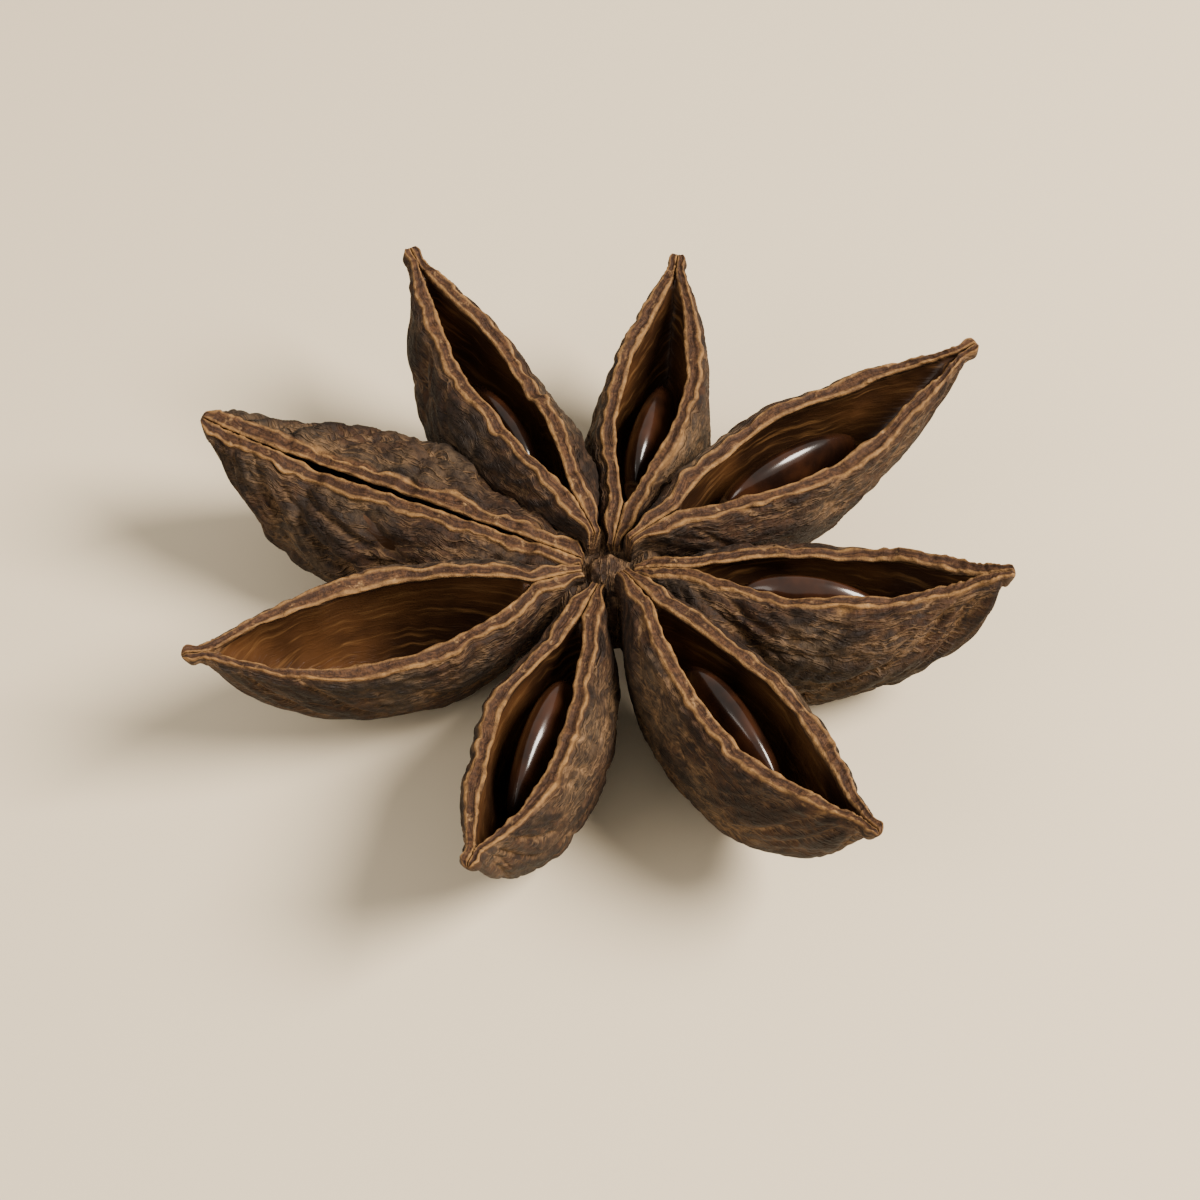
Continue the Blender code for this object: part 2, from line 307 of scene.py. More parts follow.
# %% The rings of one carpel
def carpel_rings(number, carpel):
    """Points (rings, places, xyz) of the smooth skin, lying along X with its core end at 0."""
    s = along[:, None]
    x = ROOT + (REACH * carpel.reach - ROOT) * along
    left, right = (
        half_rings(carpel, s, *uneven_lip(x, 10.0 * number + side, carpel.rough)) for side in (1, -1)
    )
    # The first wall runs from the keel up and over to the floor of the hollow; the second comes back.
    y = np.concatenate([left[0], -right[0][:, ::-1]], axis=1) + carpel.bend * s**2
    z = np.concatenate([left[1], right[1][:, ::-1]], axis=1)
    return np.stack([np.broadcast_to(x[:, None], y.shape), y, z], axis=2)


skins = {number: carpel_rings(number, carpel) for number, carpel in CARPELS.items()}
print("carpel 1 has", skins[1].shape[0] * skins[1].shape[1], "points")


# %% [markdown]
# ## Wrinkles
#
# The green fruit wall is fleshy, and it shrinks on drying round the hard layer inside. That leaves
# a net of ridges drawn out along the carpel, with lumps and dents under it and a fine crust of
# grains on top. A bump map alone would leave the outline smooth, so the points themselves are moved
# along their normals. The same heights are kept with the mesh, so that the finish can rub the
# ridges pale and paint shade into the furrows as a near-black brown.

# %% Normals and distances on a grid
def grid_normals(points):
    """Unit normals of a grid of points whose rings close on themselves."""
    wrapped = np.concatenate([points[:, -1:], points, points[:, :1]], axis=1)
    round_way = wrapped[:, 2:] - wrapped[:, :-2]
    long_way = np.gradient(points, axis=0)
    normal = np.cross(long_way, round_way)
    size = np.linalg.norm(normal, axis=2, keepdims=True)
    return normal / np.maximum(size, 1e-9)


def distances(points):
    """How far round its ring each point is from the keel, on one side above 0 and on the other
    below it, and then how far it is from the lip, outside and inside."""
    steps = np.linalg.norm(np.diff(points, axis=1), axis=2)
    travelled = np.concatenate([np.zeros((len(points), 1)), np.cumsum(steps, axis=1)], axis=1)
    whole = np.linalg.norm(points[:, 0] - points[:, -1], axis=1)[:, None] + travelled[:, -1:]
    across = np.where(np.arange(len(bands)) < len(bands) // 2, travelled, travelled - whole)
    lip_starts = np.abs(across[:, OUTSIDE : OUTSIDE + 1])
    lip_ends = np.abs(across[:, OUTSIDE + BEAD : OUTSIDE + BEAD + 1])
    return across, lip_starts - np.abs(across), np.abs(across) - lip_ends


# %% The relief of the outside
RIDGES = ((1.5, 0.5), (0.75, 0.32), (0.38, 0.18))  # how far apart across the carpel, and weight
RIDGE_STRETCH = 2.7  # the net is drawn out along the carpel
RIDGE_SHARPNESS = 3.4
RIDGE_HEIGHT = 0.33
LUMP = 3.1  # how far apart the lumps are
LUMP_HEIGHT = 0.23
GRAIN = 0.34
GRAIN_HEIGHT = 0.03
WARP = 4.0  # the net is bent over stretches of this length,
WARP_ALONG = 0.9  # by this much
WARP_ACROSS = 0.7


def ridge_net(x, across, pick):
    """0 in the furrows and up to 1 on the crests of a net of ridges."""
    total = 0.0
    for apart, weight in RIDGES:
        spot = Vector((x / (apart * RIDGE_STRETCH), across / apart, pick + 9 * apart))
        crest = 1 - min(1.0, RIDGE_SHARPNESS * abs(noise.noise(spot)))
        total += weight * crest**1.5
    return total


def outside_relief(x, across, pick):
    """(height in millimetres, share of crest) at one point of the outside."""
    warp = Vector((x / WARP, across / WARP, pick))
    x_warped = x + WARP_ALONG * noise.noise(warp)
    across_warped = across + WARP_ACROSS * noise.noise(warp + Vector((7.1, 3.3, 0)))
    net = ridge_net(x_warped, across_warped, pick)
    lump = noise.noise(Vector((x / LUMP, across / LUMP, pick + 20)))
    grain = noise.noise(Vector((x / GRAIN, across / GRAIN, pick + 40)))
    height = RIDGE_HEIGHT * (net - 0.35) + LUMP_HEIGHT * lump + GRAIN_HEIGHT * grain
    return height, net


print("relief at one point:", [round(value, 3) for value in outside_relief(5.0, 1.0, 3.0)])


# %% The relief of the lips and of the lining
LIP_GRAIN = (0.4, 0.25)  # millimetres along and across
LIP_GRAIN_HEIGHT = 0.07
EDGE_BREAKS = (0.9, 0.4)  # a lip's edges are rubbed more in some stretches than in others
EDGE_UNEVEN = 0.35
LINING_VEIN = (2.4, 0.35)
LINING_VEIN_HEIGHT = 0.02


def stretched_noise(x, across, size, pick):
    return noise.noise(Vector((x / size[0], across / size[1], pick)))


def lip_relief(x, across, pick, edge):
    """(height in millimetres, how rubbed) at one point of a lip."""
    height = LIP_GRAIN_HEIGHT * stretched_noise(x, across, LIP_GRAIN, pick)
    return height, edge + EDGE_UNEVEN * stretched_noise(x, across, EDGE_BREAKS, pick + 9)


def lining_relief(x, across, pick):
    """(height in millimetres, share of crest) at one point of the lining."""
    vein = stretched_noise(x, across, LINING_VEIN, pick + 60)
    return LINING_VEIN_HEIGHT * vein, 0.5 + 0.5 * vein


# %% What each place is
LIP_FADES = 0.16  # how far the lips' look reaches down the outside
LIP_FADES_IN = 0.14
LINING_FROM = 0.2  # how far in the lining is whole


def lip_and_inside(from_lip, depth_in):
    """How much each point is lip and how much it is inside, from 0 to 1."""
    lip = np.zeros(from_lip.shape)
    inside = np.zeros(from_lip.shape)
    lip[:, on_wall] = smooth(between(from_lip, LIP_FADES, 0.0))[:, on_wall]
    lip[:, on_lip] = 1.0
    lip[:, in_hollow] = smooth(between(depth_in, LIP_FADES_IN, 0.0))[:, in_hollow]
    inside[:, in_hollow] = smooth(between(depth_in, 0.0, LINING_FROM))[:, in_hollow]
    return lip, inside


# %% Move the points of one carpel
GROOVE = 0.1  # the dent that runs along the wall under a lip: how deep,
GROOVE_AT = 0.3  # how far down
GROOVE_SPREAD = 0.14
SMOOTH_BY_LIP = 0.6  # how far down the wall the lips keep it smooth


def wrinkle(points, number, carpel):
    """The wrinkled points, and for each one how much it is lip, inside and crest, and its run:
    how far along the carpel and how far from the lip the point is, which the grain follows."""
    across, from_lip, depth_in = distances(points)
    lip, inside = lip_and_inside(from_lip, depth_in)
    groove = GROOVE * hump(from_lip, GROOVE_AT, GROOVE_SPREAD)
    upper = 1 - 0.8 * hump(from_lip, 0, SMOOTH_BY_LIP)
    # The relief is lower near the core and fades out at the beak.
    ends = smooth(between(along, 1.0, 0.93)) * (0.35 + 0.65 * smooth(between(along, 0.0, 0.25)))
    edge = np.zeros(len(bands))
    edge[on_lip] = np.tile(lip_edges, 2)
    pick = 31.7 * number
    shift = np.zeros(across.shape)
    crest = np.zeros(across.shape)
    for i, x in enumerate(points[:, 0, 0]):
        for j, off_keel in enumerate(across[i]):
            if on_wall[j]:
                height, crest[i, j] = outside_relief(x, off_keel, pick)
                height = carpel.rough * height * upper[i, j] - groove[i, j]
            elif on_lip[j]:
                height, crest[i, j] = lip_relief(x, off_keel, pick, edge[j])
            else:
                height, crest[i, j] = lining_relief(x, off_keel, pick)
                height *= inside[i, j]
            shift[i, j] = height * ends[i]
    x = np.broadcast_to(points[:, :1, 0], across.shape)
    run = np.stack([x, from_lip, pick + np.sign(across)], axis=2)
    masks = {"lip": lip, "inside": inside, "crest": crest, "run": run}
    return points + grid_normals(points) * shift[:, :, None], masks


# %% [markdown]
# ## From numbers to a mesh
#
# A small function turns a grid into a mesh: four neighbours make a face, the ends are closed with a
# fan, and the masks go along as attributes, one value for each point.

# %% A grid becomes a mesh
def grid_mesh(name, points, masks):
    """A closed mesh from a grid of rings, in millimetres, with its masks as attributes."""
    rows, columns = points.shape[:2]
    first = np.arange(rows - 1)[:, None] * columns
    here = np.arange(columns)[None, :]
    after = (here + 1) % columns
    quads = np.stack(
        [first + here, first + after, first + columns + after, first + columns + here], axis=2
    ).reshape(-1, 4)
    start, end = rows * columns, rows * columns + 1
    ring = np.arange(columns)
    last = ring + (rows - 1) * columns
    fans = [(start, (i + 1) % columns, i) for i in ring]
    fans += [(end, last[i], last[(i + 1) % columns]) for i in ring]
    corners = np.concatenate(
        [points.reshape(-1, 3), points[0].mean(axis=0)[None], points[-1].mean(axis=0)[None]]
    )
    mesh = bpy.data.meshes.new(name)
    mesh.from_pydata((corners * MM).tolist(), [], quads.tolist() + fans)
    for mask, values in masks.items():
        ends = np.stack([values[0].mean(axis=0), values[-1].mean(axis=0)])
        full = np.concatenate([values.reshape(-1, *values.shape[2:]), ends])
        kind, field = ("FLOAT", "value") if values.ndim == 2 else ("FLOAT_VECTOR", "vector")
        made = mesh.attributes.new(mask, kind, "POINT")
        made.data.foreach_set(field, full.astype(np.float32).ravel())
    mesh.update()
    facing_out(mesh)
    mesh.shade_smooth()
    return mesh


def facing_out(mesh):
    """Turns the faces round if the mesh is inside out."""
    mesh.calc_loop_triangles()
    corner = np.array([v.co for v in mesh.vertices])
    triangles = np.array([t.vertices for t in mesh.loop_triangles])
    a, b, c = (corner[triangles[:, k]] for k in range(3))
    if (a * np.cross(b, c)).sum() < 0:
        mesh.flip_normals()


def put(mesh, name):
    """Makes a piece from a mesh and puts it in the scene."""
    piece = bpy.data.objects.new(name, mesh)
    bpy.context.scene.collection.objects.link(piece)
    return piece


# %% [markdown]
# ## Setting the carpels round the core
#
# Each carpel is rolled a little to one side, turned to its own direction and let down until its
# keel touches the surface. Not all of them touch: a pod rests on the few that hang lowest.

# %% Placing one carpel
def placing(carpel, smooth_points):
    """The matrix, in millimetres, that sets a carpel in the pod."""
    pivot = Matrix.Translation((0, 0, RIM_AT_HUB))
    roll = pivot @ Matrix.Rotation(math.radians(-carpel.lean), 4, "X") @ pivot.inverted()
    matrix = Matrix.Rotation(math.radians(carpel.angle), 4, "Z") @ roll
    lowest = moved(smooth_points, matrix)[..., 2].min()
    lift = -SINK if carpel.lift is None else carpel.lift
    return Matrix.Translation((0, 0, lift - lowest)) @ matrix


def moved(points, matrix):
    """Points turned and shifted by a matrix."""
    turned = np.array(matrix.to_3x3())
    return points @ turned.T + np.array(matrix.translation)


placings = {number: placing(carpel, skins[number]) for number, carpel in CARPELS.items()}
outline = np.concatenate([moved(skins[n], placings[n]).reshape(-1, 3) for n in CARPELS])
low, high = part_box("pod")
shift_x = (low.x + high.x) / 2 / MM - (outline[:, 0].min() + outline[:, 0].max()) / 2
shift_y = (low.y + high.y) / 2 / MM - (outline[:, 1].min() + outline[:, 1].max()) / 2
to_frame = Matrix.Translation((shift_x, shift_y, 0))
print(f"the core stands {shift_x:.2f}, {shift_y:.2f} mm from the middle of the outline")

# %% Build the eight carpels
FLOOR_CLEARANCE = 0.015


def rest_on_floor(points):
    """Presses what would be below the surface flat on it."""
    points[..., 2] = np.maximum(points[..., 2], FLOOR_CLEARANCE)
    return points


pieces = []
for number, carpel in CARPELS.items():
    wrinkled, masks = wrinkle(skins[number], number, carpel)
    in_place = rest_on_floor(moved(wrinkled, to_frame @ placings[number]))
    piece = put(grid_mesh(f"carpel_{number}", in_place, masks), f"carpel_{number}")
    pieces.append(piece)
    print(piece.name, len(piece.data.polygons), "faces")

# %% [markdown]
# ## The core
#
# In the middle the carpels grow from a short core. From above only its shrunken top shows between
# the ends of the lips, and from below it is a knuckle with a furrow between each pair of carpels.
# It is turned from a half section, like a bowl on a lathe, and then the furrows and the wrinkles
# are pressed in.

# %% Half section of the core
CORE_SECTION = np.array([
    (0.02, 4.75), (0.3, 4.7), (0.55, 4.45), (0.75, 4.15), (1.05, 4.2), (1.5, 4.45), (2.0, 4.3),
    (2.4, 3.85), (2.6, 3.3), (2.45, 2.8), (2.1, 2.4), (1.6, 2.15), (1.0, 2.0), (0.5, 1.95), (0.02, 1.9),
])
CORE_ROUND = 160
CORE_DOWN = 90


def drawn_through(given, at, count):
    """A line of evenly spaced points through given ones."""
    even = np.linspace(at[0], at[-1], count)
    return np.stack([np.interp(even, at, given[:, k]) for k in range(given.shape[1])], axis=1)


def rounded(line, times):
    """The line with its corners rounded. Its ends stay where they are."""
    for _ in range(times):
        line[1:-1] = (line[:-2] + 2 * line[1:-1] + line[2:]) / 4
    return line


steps = np.linalg.norm(np.diff(CORE_SECTION, axis=0), axis=1)
section = rounded(drawn_through(CORE_SECTION, np.concatenate([[0], np.cumsum(steps)]), CORE_DOWN), 4)
print("the half section is", round(steps.sum(), 1), "mm long")

# %% The core
CORE_FURROW = 0.14  # how deep the furrows are, as a share of the radius
CORE_LUMP = 0.9
CORE_UNEVEN = 0.05


def rib(angle):
    """1 in line with a carpel and 0 half-way between two."""
    nearest = min(abs((math.degrees(angle) - c.angle + 180) % 360 - 180) for c in CARPELS.values())
    half_way = 180 / len(CARPELS)
    return math.cos(math.pi / 2 * min(1, nearest / half_way)) ** 2


def build_core():
    """Points (rings, places, xyz) of the core, and how much each is a crest."""
    angles = np.linspace(0, 2 * np.pi, CORE_ROUND, endpoint=False)
    ribs = np.array([rib(a) for a in angles])
    points = np.zeros((CORE_DOWN, CORE_ROUND, 3))
    crest = np.zeros((CORE_DOWN, CORE_ROUND))
    for i, (radius, height) in enumerate(section):
        for j, angle in enumerate(angles):
            out = radius * (1 - CORE_FURROW * (1 - ribs[j]))
            spot = Vector((out * math.cos(angle), out * math.sin(angle), height))
            rough = noise.fractal(spot / CORE_LUMP, 0.8, 2.1, 4)
            crest[i, j] = 0.5 + 0.5 * rough
            points[i, j] = spot * (1 + CORE_UNEVEN * rough)
    return points, crest


def plain_masks(points, crest):
    """The masks of a piece that is neither lip nor inside, and whose grain runs upwards."""
    none = np.zeros_like(crest)
    return {"lip": none, "inside": none, "crest": crest, "run": points[..., [2, 0, 1]]}


core_points, core_crest = build_core()
core_masks = plain_masks(core_points, core_crest)
core = put(grid_mesh("core", moved(core_points, to_frame), core_masks), "core")
pieces.append(core)
print("the core is", round(core.dimensions.x / MM, 1), "mm wide")

# %% [markdown]
# ## The stub of the stalk
#
# A thin curved stalk held the fruit. It snaps on the way to the dryer and leaves a stub under the
# core, with a splintered end. It is a tube along a short curve, and its last rings are broken up.

# %% The stalk
STALK_LINE = np.array([(0.0, 0.0, 3.0), (0.1, 0.0, 2.0), (0.4, 0.15, 1.2), (0.8, 0.3, 0.7)])
STALK_RADIUS = 0.72
STALK_GROOVES = 0.14  # as a share of the radius
SPLINTER = 0.18
STALK_ROUND = 36
STALK_ALONG = 30


def build_stalk():
    """Points (rings, places, xyz) of the stub, and how much each is a crest."""
    share = np.linspace(0, 1, STALK_ALONG)
    line = rounded(drawn_through(STALK_LINE, np.linspace(0, 1, len(STALK_LINE)), STALK_ALONG), 6)
    ahead = np.gradient(line, axis=0)
    ahead /= np.linalg.norm(ahead, axis=1, keepdims=True)
    points = np.zeros((STALK_ALONG, STALK_ROUND, 3))
    crest = np.zeros((STALK_ALONG, STALK_ROUND))
    for i in range(STALK_ALONG):
        turn = Vector(ahead[i]).to_track_quat("Z", "Y")
        for j in range(STALK_ROUND):
            angle = 2 * math.pi * j / STALK_ROUND
            groove = noise.noise(Vector((math.cos(angle) * 2, math.sin(angle) * 2, share[i])))
            radius = STALK_RADIUS * (1 + STALK_GROOVES * (groove - 0.5))
            spot = turn @ Vector((radius * math.cos(angle), radius * math.sin(angle), 0))
            splinter = SPLINTER * groove * smooth(between(share[i], 0.9, 1.0))
            points[i, j] = line[i] + np.array(spot) - ahead[i] * splinter
            crest[i, j] = 0.5 + 0.5 * groove
    return points, crest


stalk_points, stalk_crest = build_stalk()
stalk_masks = plain_masks(stalk_points, stalk_crest)
stalk = put(grid_mesh("stalk_stub", moved(stalk_points, to_frame), stalk_masks), "stalk_stub")
pieces.append(stalk)
print("the stub is", round(stalk.dimensions.z / MM, 1), "mm high")

# %% [markdown]
# ## The seeds
#
# A star anise seed is a flattened egg, hard and polished like a lacquered bead. It stands on its
# narrow side in the boat. One end carries the hilum, the scar where it hung on the carpel: a small
# dull pit. A ball of rings gives the egg, squeezed flat, with a faint ridge along the narrow side.

# %% One seed
SEED_HEIGHT = 0.58  # times its length
SEED_THICKNESS = 0.28
SEED_EGG = 0.14  # how much blunter the end towards the core is
SEED_AT = 0.48
SEED_RIDGE = 0.035  # how far the ridge stands out, as a share
CLEAR = 0.5  # how far a seed is above the floor of its hollow
SCAR = (0.62, 0.42)  # the dull spot fades out and is whole this far from the scar's middle
PIT = (0.5, 0.2)  # and the pit in it likewise
PIT_DEPTH = 0.16
DENT = 2.4  # how far apart the seed's slight dents are
DENT_DEPTH = 0.025  # as a share
SEED_RINGS = 96
SEED_ROUND = 80


def seed_height(carpel, half):
    """The height of a seed's middle, where it just clears the floor of the hollow."""
    length = REACH * carpel.reach - ROOT
    x = np.arange(-9, 10) / 10
    drop = half * SEED_HEIGHT * np.sqrt(1 - x * x) * (1 - SEED_EGG * x)
    return (hollow_floor(carpel, SEED_AT + x * half / length) + CLEAR + drop).max()


def build_seed(number, carpel):
    """Points (rings, places, xyz) of a seed in its carpel, and how much each is in the scar."""
    half = carpel.seed / 2
    turn = np.linspace(0.02, np.pi - 0.02, SEED_RINGS)[:, None]
    round_way = np.linspace(0, 2 * np.pi, SEED_ROUND, endpoint=False)[None, :]
    x = -np.cos(turn) + 0 * round_way
    body = np.sin(turn) * (1 - SEED_EGG * x)
    ridge = 1 + SEED_RIDGE * np.abs(np.sin(round_way)) ** 14
    y = body * np.cos(round_way) * SEED_THICKNESS
    z = body * np.sin(round_way) * SEED_HEIGHT * ridge
    points = np.stack([x, y, z], axis=2) * half
    from_scar = np.linalg.norm(points - np.array([-half, 0, 0.1 * half]), axis=2)
    scar = smooth(between(from_scar, *SCAR))
    points[..., 0] += PIT_DEPTH * smooth(between(from_scar, *PIT))
    for i in range(SEED_RINGS):
        for j in range(SEED_ROUND):
            dent = noise.noise(Vector(points[i, j]) / DENT + Vector((0, 0, 9.0 * number)))
            points[i, j] *= 1 + DENT_DEPTH * dent
    length = REACH * carpel.reach - ROOT
    middle = (ROOT + length * SEED_AT, carpel.bend * SEED_AT**2, seed_height(carpel, half))
    return points + np.array(middle), scar


seeds = []
for number, carpel in CARPELS.items():
    if carpel.seed:
        seed_points, scar = build_seed(number, carpel)
        in_place = moved(seed_points, to_frame @ placings[number])
        seed = put(grid_mesh(f"glossy_seed_{number}", in_place, {"scar": scar}), f"glossy_seed_{number}")
        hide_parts(f"seed_{number}")
        seeds.append(seed)
print(len(seeds), "seeds")

# %% [markdown]
# ## Finishes
#
# Colours are written as a paint shop would, in sRGB hex, and one function turns them to the linear
# values that the shader works with. Another adds a node with its settings and its links.

# %% Colour and node helpers
def hex_colour(code):
    """An sRGB hex code as linear red, green, blue and alpha."""
    parts = [int(code[i : i + 2], 16) / 255 for i in (1, 3, 5)]
    linear = [p / 12.92 if p <= 0.04045 else ((p + 0.055) / 1.055) ** 2.4 for p in parts]
    return (*linear, 1.0)


def add(tree, kind, settings=None, out=0, **inputs):
    """Adds a node and returns one of its outputs. Settings are the node's own; the inputs are values
    or outputs to link from, by name, or by place as i0, i1 and so on."""
    node = tree.nodes.new("ShaderNode" + kind)
    for key, value in (settings or {}).items():
        setattr(node, key, value)
    for key, value in inputs.items():
        by_place = key[0] == "i" and key[1:].isdigit()
        socket = node.inputs[int(key[1:]) if by_place else key]
        if isinstance(value, bpy.types.NodeSocket):
            tree.links.new(value, socket)
        else:
            socket.default_value = value
    return node.outputs[out]


# Settings that come often. A Mix of colours takes its share as i0 and its colours as i6 and i7.
# A Map Range spreads i1..i2 to i3..i4, which is 0 to 1 unless said.
COLOURS = {"data_type": "RGBA"}
EASED = {"interpolation_type": "SMOOTHSTEP"}
TIMES = {"operation": "MULTIPLY"}


def new_finish(name):
    """A new finish, its nodes, and the shader that its patterns lead to."""
    finish = bpy.data.materials.new(name)
    finish.use_nodes = True
    return finish, finish.node_tree, finish.node_tree.nodes["Principled BSDF"]


print("middle grey in linear values:", [round(v, 3) for v in hex_colour("#808080")])

# %% [markdown]
# ### The dried fruit wall
#
# Sun-dried fruit wall is a dead, woody skin: matt and dark brown, greyer where the skin has lifted,
# redder where it is sound, and rubbed to a dull tan on every crest by shaking about with other
# pods. The lips are the broken edge of the wall: fibrous, dull brown pith, between two thin edges
# that are rubbed pale. The inside is a hard smooth layer, amber to chestnut, with a satin shine. One
# finish holds all three and blends them with the masks, because on the real pod there is no line
# between them.

# %% Sizes of the wall's patterns
FLECK = 1 / (0.4 * MM)  # flecks a little under half a millimetre across
PATCH = 1 / (4.0 * MM)  # and patches ten times that
CRUST = 1 / (0.16 * MM)  # the crust's grains, a little coarser than real ones so that they show
WRINKLE = (1 / 1.4, 1 / 0.3, 1.0)  # fine wrinkles, 1.4 mm long and 0.3 mm apart
FIBRE = (1 / 1.6, 1 / 0.1, 1.0)  # fibres in the broken edge of the lips
VEIN = (1 / 1.8, 1 / 0.22, 1.0)  # faint streaks in the hard lining


def grain_along(run, stretch, detail):
    """Noise that is drawn out along the carpel."""
    place = add(tree, "VectorMath", TIMES, i0=run, i1=stretch)
    return add(tree, "TexNoise", Vector=place, Scale=1.0, Detail=detail, Roughness=0.6)


# %% Patterns of the wall
shell, tree, shader = new_finish("sun_dried_fruit_wall")
place = add(tree, "TexCoord", out="Object")
run = add(tree, "Attribute", {"attribute_name": "run"}, out="Vector")
lip_mask = add(tree, "Attribute", {"attribute_name": "lip"}, out="Fac")
inside_mask = add(tree, "Attribute", {"attribute_name": "inside"}, out="Fac")
crest_mask = add(tree, "Attribute", {"attribute_name": "crest"}, out="Fac")
flecks = add(tree, "TexNoise", Vector=place, Scale=FLECK, Detail=5.0, Roughness=0.65)
patches = add(tree, "TexNoise", Vector=place, Scale=PATCH, Detail=3.0)
crust = add(tree, "TexNoise", Vector=place, Scale=CRUST, Detail=4.0, Roughness=0.65)
fibres = grain_along(run, FIBRE, 3.0)
veins = grain_along(run, VEIN, 2.0)
from_half = add(tree, "Math", {"operation": "SUBTRACT"}, i0=grain_along(run, WRINKLE, 3.0), i1=0.5)
off_middle = add(tree, "Math", {"operation": "ABSOLUTE"}, i0=from_half)
wrinkle_lines = add(tree, "MapRange", EASED, i0=off_middle, i1=0.0, i2=0.07, i3=1.0, i4=0.0)

# %% Where the wall's tones show
where = {"by crust grain": crust, "on the lips": lip_mask, "inside": inside_mask}
for name, pattern, low, high, at_low, at_high in (
    ("in flecks", flecks, 0.35, 0.68, 0.0, 1.0),
    ("in patches", patches, 0.42, 0.62, 0.0, 1.0),
    ("on ridges", crest_mask, 0.5, 0.85, 0.0, 1.0),
    ("off and on", flecks, 0.35, 0.65, 0.0, 1.0),
    ("on slopes", crest_mask, 0.1, 0.6, 0.1, 0.55),
    # painted shade: how far the furrows are darkened, most where the net of ridges is lowest
    ("painted shade in furrows", crest_mask, 0.22, 0.0, 0.0, 0.75),
    ("on a lip's grains", crust, 0.35, 0.65, 0.0, 1.0),
    ("along fibres", fibres, 0.58, 0.38, 0.0, 0.75),
    ("on a lip's edges", crest_mask, 0.2, 0.9, 0.0, 1.0),
    ("mostly", flecks, 0.32, 0.6, 0.25, 1.0),
    ("in a few chips", flecks, 0.58, 0.8, 0.0, 1.0),
    ("in patches inside", patches, 0.4, 0.62, 0.0, 1.0),
    ("along veins", veins, 0.5, 0.8, 0.0, 1.0),
):
    where[name] = add(tree, "MapRange", EASED, i0=pattern, i1=low, i2=high, i3=at_low, i4=at_high)
ridges_worn = add(tree, "Math", TIMES, i0=where["on ridges"], i1=where["off and on"])
lines_worn = add(tree, "Math", TIMES, i0=wrinkle_lines, i1=where["on slopes"])
where["on worn places"] = add(tree, "Math", {"operation": "MAXIMUM"}, i0=ridges_worn, i1=lines_worn)
where["on rubbed edges"] = add(tree, "Math", TIMES, i0=where["on a lip's edges"], i1=where["mostly"])

# %% Tones of the wall
tones = {}
for name, first, second, second_is in (
    ("sound skin", "#22160f", "#422c1c", "in flecks"),
    ("lifted skin", "#2b2119", "#50402f", "in flecks"),
    ("skin", "sound skin", "lifted skin", "in patches"),
    ("rubbed wood", "#583d27", "#9e7d59", "by crust grain"),
    ("worn skin", "skin", "rubbed wood", "on worn places"),
    # painted shade: the outside darkens towards a near-black brown in its furrows
    ("outside", "worn skin", "#140b06", "painted shade in furrows"),
    ("pith", "#352317", "#5a3d27", "on a lip's grains"),
    ("fibrous pith", "pith", "#2b1a10", "along fibres"),
    ("lips", "fibrous pith", "#8c683f", "on rubbed edges"),
    ("chipped lips", "lips", "#a58159", "in a few chips"),
    ("lining", "#2f1d11", "#55371f", "in patches inside"),
    ("veined lining", "lining", "#71502f", "along veins"),
    ("both sides", "outside", "veined lining", "inside"),
    ("wall", "both sides", "chipped lips", "on the lips"),
):
    low, high = (hex_colour(tone) if tone[0] == "#" else tones[tone] for tone in (first, second))
    tones[name] = add(tree, "Mix", COLOURS, out=2, i0=where[second_is], i6=low, i7=high)
tree.links.new(tones["wall"], shader.inputs["Base Color"])

# %% Shine and fine relief of the wall
dull = add(tree, "MapRange", EASED, i0=flecks, i1=0.3, i2=0.7, i3=0.6, i4=0.8)
satin = add(tree, "MapRange", EASED, i0=flecks, i1=0.3, i2=0.7, i3=0.3, i4=0.42)
gloss = add(tree, "Mix", i0=inside_mask, i2=dull, i3=satin)
tree.links.new(gloss, shader.inputs["Roughness"])
shader.inputs["Specular IOR Level"].default_value = 0.22  # a porous crust hardly reflects
shader.inputs["IOR"].default_value = 1.5  # dry plant tissue
fine_on_skin = add(tree, "Math", i0=wrinkle_lines, i1=crust)  # a Math node adds unless told
fine_on_lips = add(tree, "Math", i0=fibres, i1=crust)
relief = add(tree, "Mix", i0=lip_mask, i2=fine_on_skin, i3=fine_on_lips)
flatter_inside = add(tree, "MapRange", EASED, i0=inside_mask, i1=0.0, i2=1.0, i3=1.0, i4=0.08)
relief = add(tree, "Math", TIMES, i0=relief, i1=flatter_inside)
bumps = add(tree, "Bump", Strength=0.8, Distance=0.1 * MM, Height=relief)
tree.links.new(bumps, shader.inputs["Normal"])
print("the fruit wall's finish has", len(tree.nodes), "nodes")

# %% [markdown]
# ### The seed coat
#
# The coat is a hard lacquer-like layer, chestnut and a little see-through, so it looks deep. A
# clear coat over a darker, slightly mottled brown gives the bright, small highlight. The scar is
# dull and pale.

# %% The seeds' finish
MOTTLE = 1 / (1.4 * MM)  # clouds a little over a millimetre across
seed_coat, tree, shader = new_finish("polished_seed_coat")
place = add(tree, "TexCoord", out="Object")
scar_mask = add(tree, "Attribute", {"attribute_name": "scar"}, out="Fac")
mottle = add(tree, "TexNoise", Vector=place, Scale=MOTTLE, Detail=4.0)
mottled = add(tree, "MapRange", EASED, i0=mottle, i1=0.35, i2=0.7)
coat = add(tree, "Mix", COLOURS, out=2, i0=mottled, i6=hex_colour("#190d08"), i7=hex_colour("#3a2012"))
coat = add(tree, "Mix", COLOURS, out=2, i0=scar_mask, i6=coat, i7=hex_colour("#8c6f52"))
tree.links.new(coat, shader.inputs["Base Color"])
sheen = add(tree, "MapRange", i0=scar_mask, i3=0.22, i4=0.7)
tree.links.new(sheen, shader.inputs["Roughness"])
shader.inputs["IOR"].default_value = 1.5  # a hard plant lacquer
shader.inputs["Coat Weight"].default_value = 0.5
shader.inputs["Coat Roughness"].default_value = 0.08
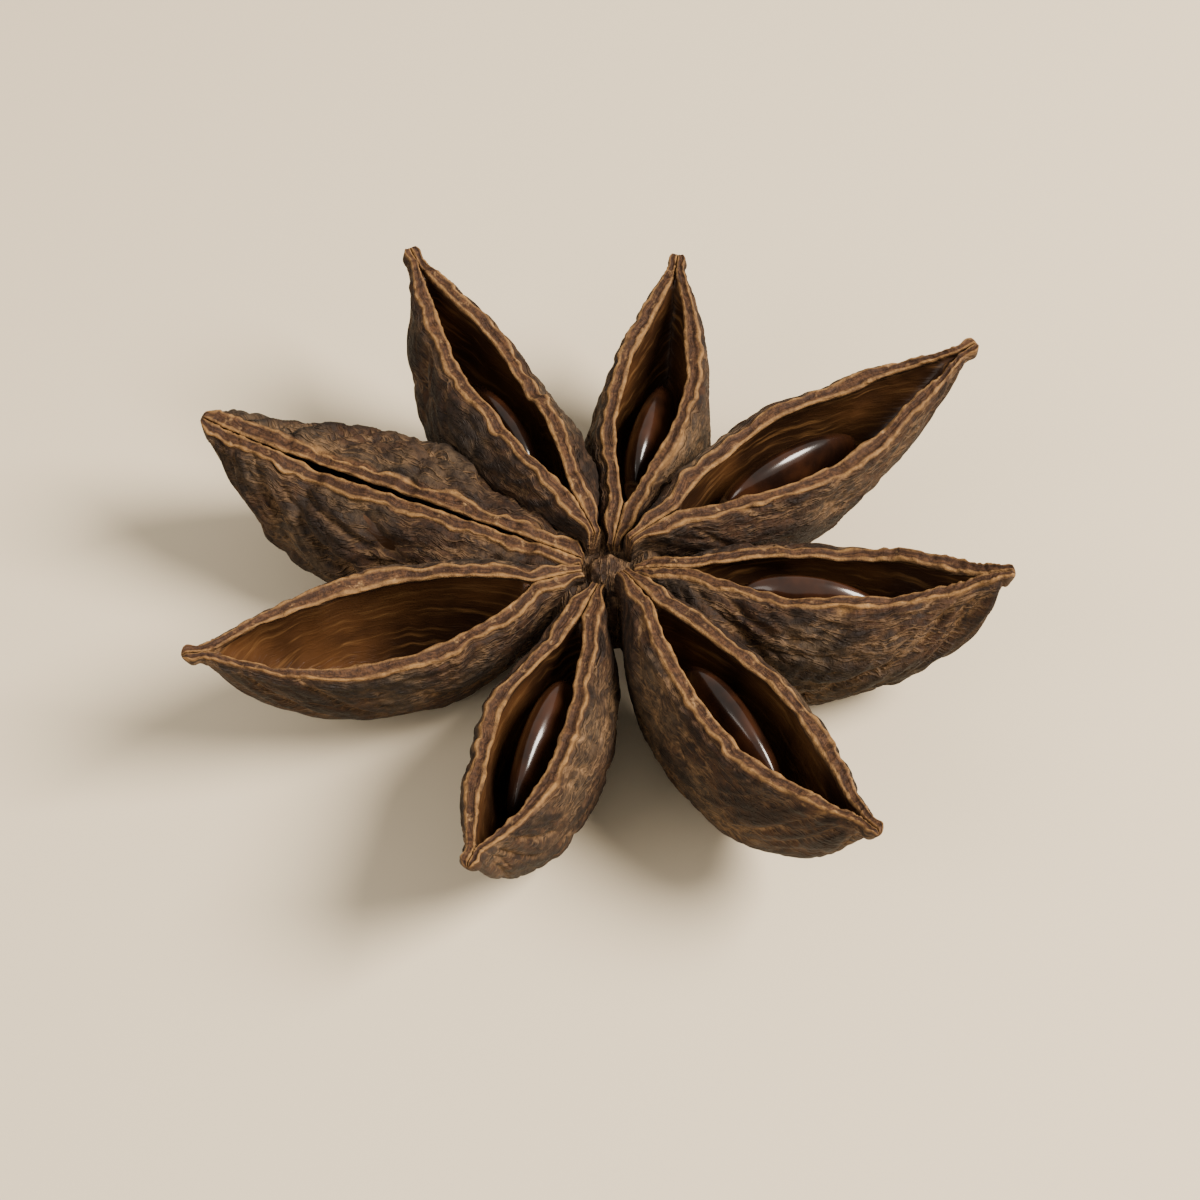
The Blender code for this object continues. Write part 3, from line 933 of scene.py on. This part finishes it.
print("the seed coat's finish has", len(tree.nodes), "nodes")

# %% Give each piece its finish and its place in the frame
for piece in pieces:
    piece.data.materials.append(shell)
    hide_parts("pod")
    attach(piece, "root")
for seed in seeds:
    seed.data.materials.append(seed_coat)
    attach(seed, "root")
print("finished", len(pieces) + len(seeds), "pieces")

# %% [markdown]
# ## The stage
#
# The pod lies on a plain pale surface in soft daylight from the right, and the camera looks down
# on it, as one looks at spices on a table. A long lens keeps the near and the far tips of the star
# in proportion.

# %% Floor
FLOOR_SIZE = 3.0
bpy.ops.mesh.primitive_plane_add(size=FLOOR_SIZE, location=(0, 0, 0))
floor = bpy.context.object
floor.name = "floor"
plaster, tree, shader = new_finish("pale_plaster")
shader.inputs["Base Color"].default_value = hex_colour("#e6d6b9")
shader.inputs["Roughness"].default_value = 0.9
floor.data.materials.append(plaster)

# %% Lights
def soft_light(name, where, size, power, tint):
    lamp = bpy.data.lights.new(name, "AREA")
    lamp.shape = "DISK"
    lamp.size = size
    lamp.energy = power
    lamp.color = hex_colour(tint)[:3]
    light = bpy.data.objects.new(name, lamp)
    light.location = where
    light.rotation_euler = (-Vector(where)).to_track_quat("-Z", "Y").to_euler()
    bpy.context.scene.collection.objects.link(light)
    return light


soft_light("window", (0.16, -0.02, 0.17), 0.12, 1.35, "#fff6ea")
soft_light("reflector", (-0.2, -0.12, 0.14), 0.2, 0.35, "#f6efe6")
world = bpy.data.worlds.new("studio")
world.use_nodes = True
world.node_tree.nodes["Background"].inputs["Color"].default_value = hex_colour("#f4eee4")
world.node_tree.nodes["Background"].inputs["Strength"].default_value = 0.55
bpy.context.scene.world = world

# %% Camera
ELEVATION = 52.0
LENS = 90.0
SENSOR = 36.0
FRAME_WIDTH = 0.040  # how much of the surface the picture takes in
camera_data = bpy.data.cameras.new("camera")
camera_data.lens = LENS
camera_data.sensor_width = SENSOR
camera = bpy.data.objects.new("camera", camera_data)
away = FRAME_WIDTH * LENS / SENSOR
tilt = math.radians(ELEVATION)
target = Vector((0, 0, 0.003))
camera.location = target + Vector((0, -math.cos(tilt), math.sin(tilt))) * away
camera.rotation_euler = (target - camera.location).to_track_quat("-Z", "Y").to_euler()
camera_data.clip_start = 0.001
bpy.context.scene.collection.objects.link(camera)
bpy.context.scene.camera = camera
print(f"the camera is {away * 1000:.0f} mm from the pod")

# %% The end
bpy.context.view_layer.update()
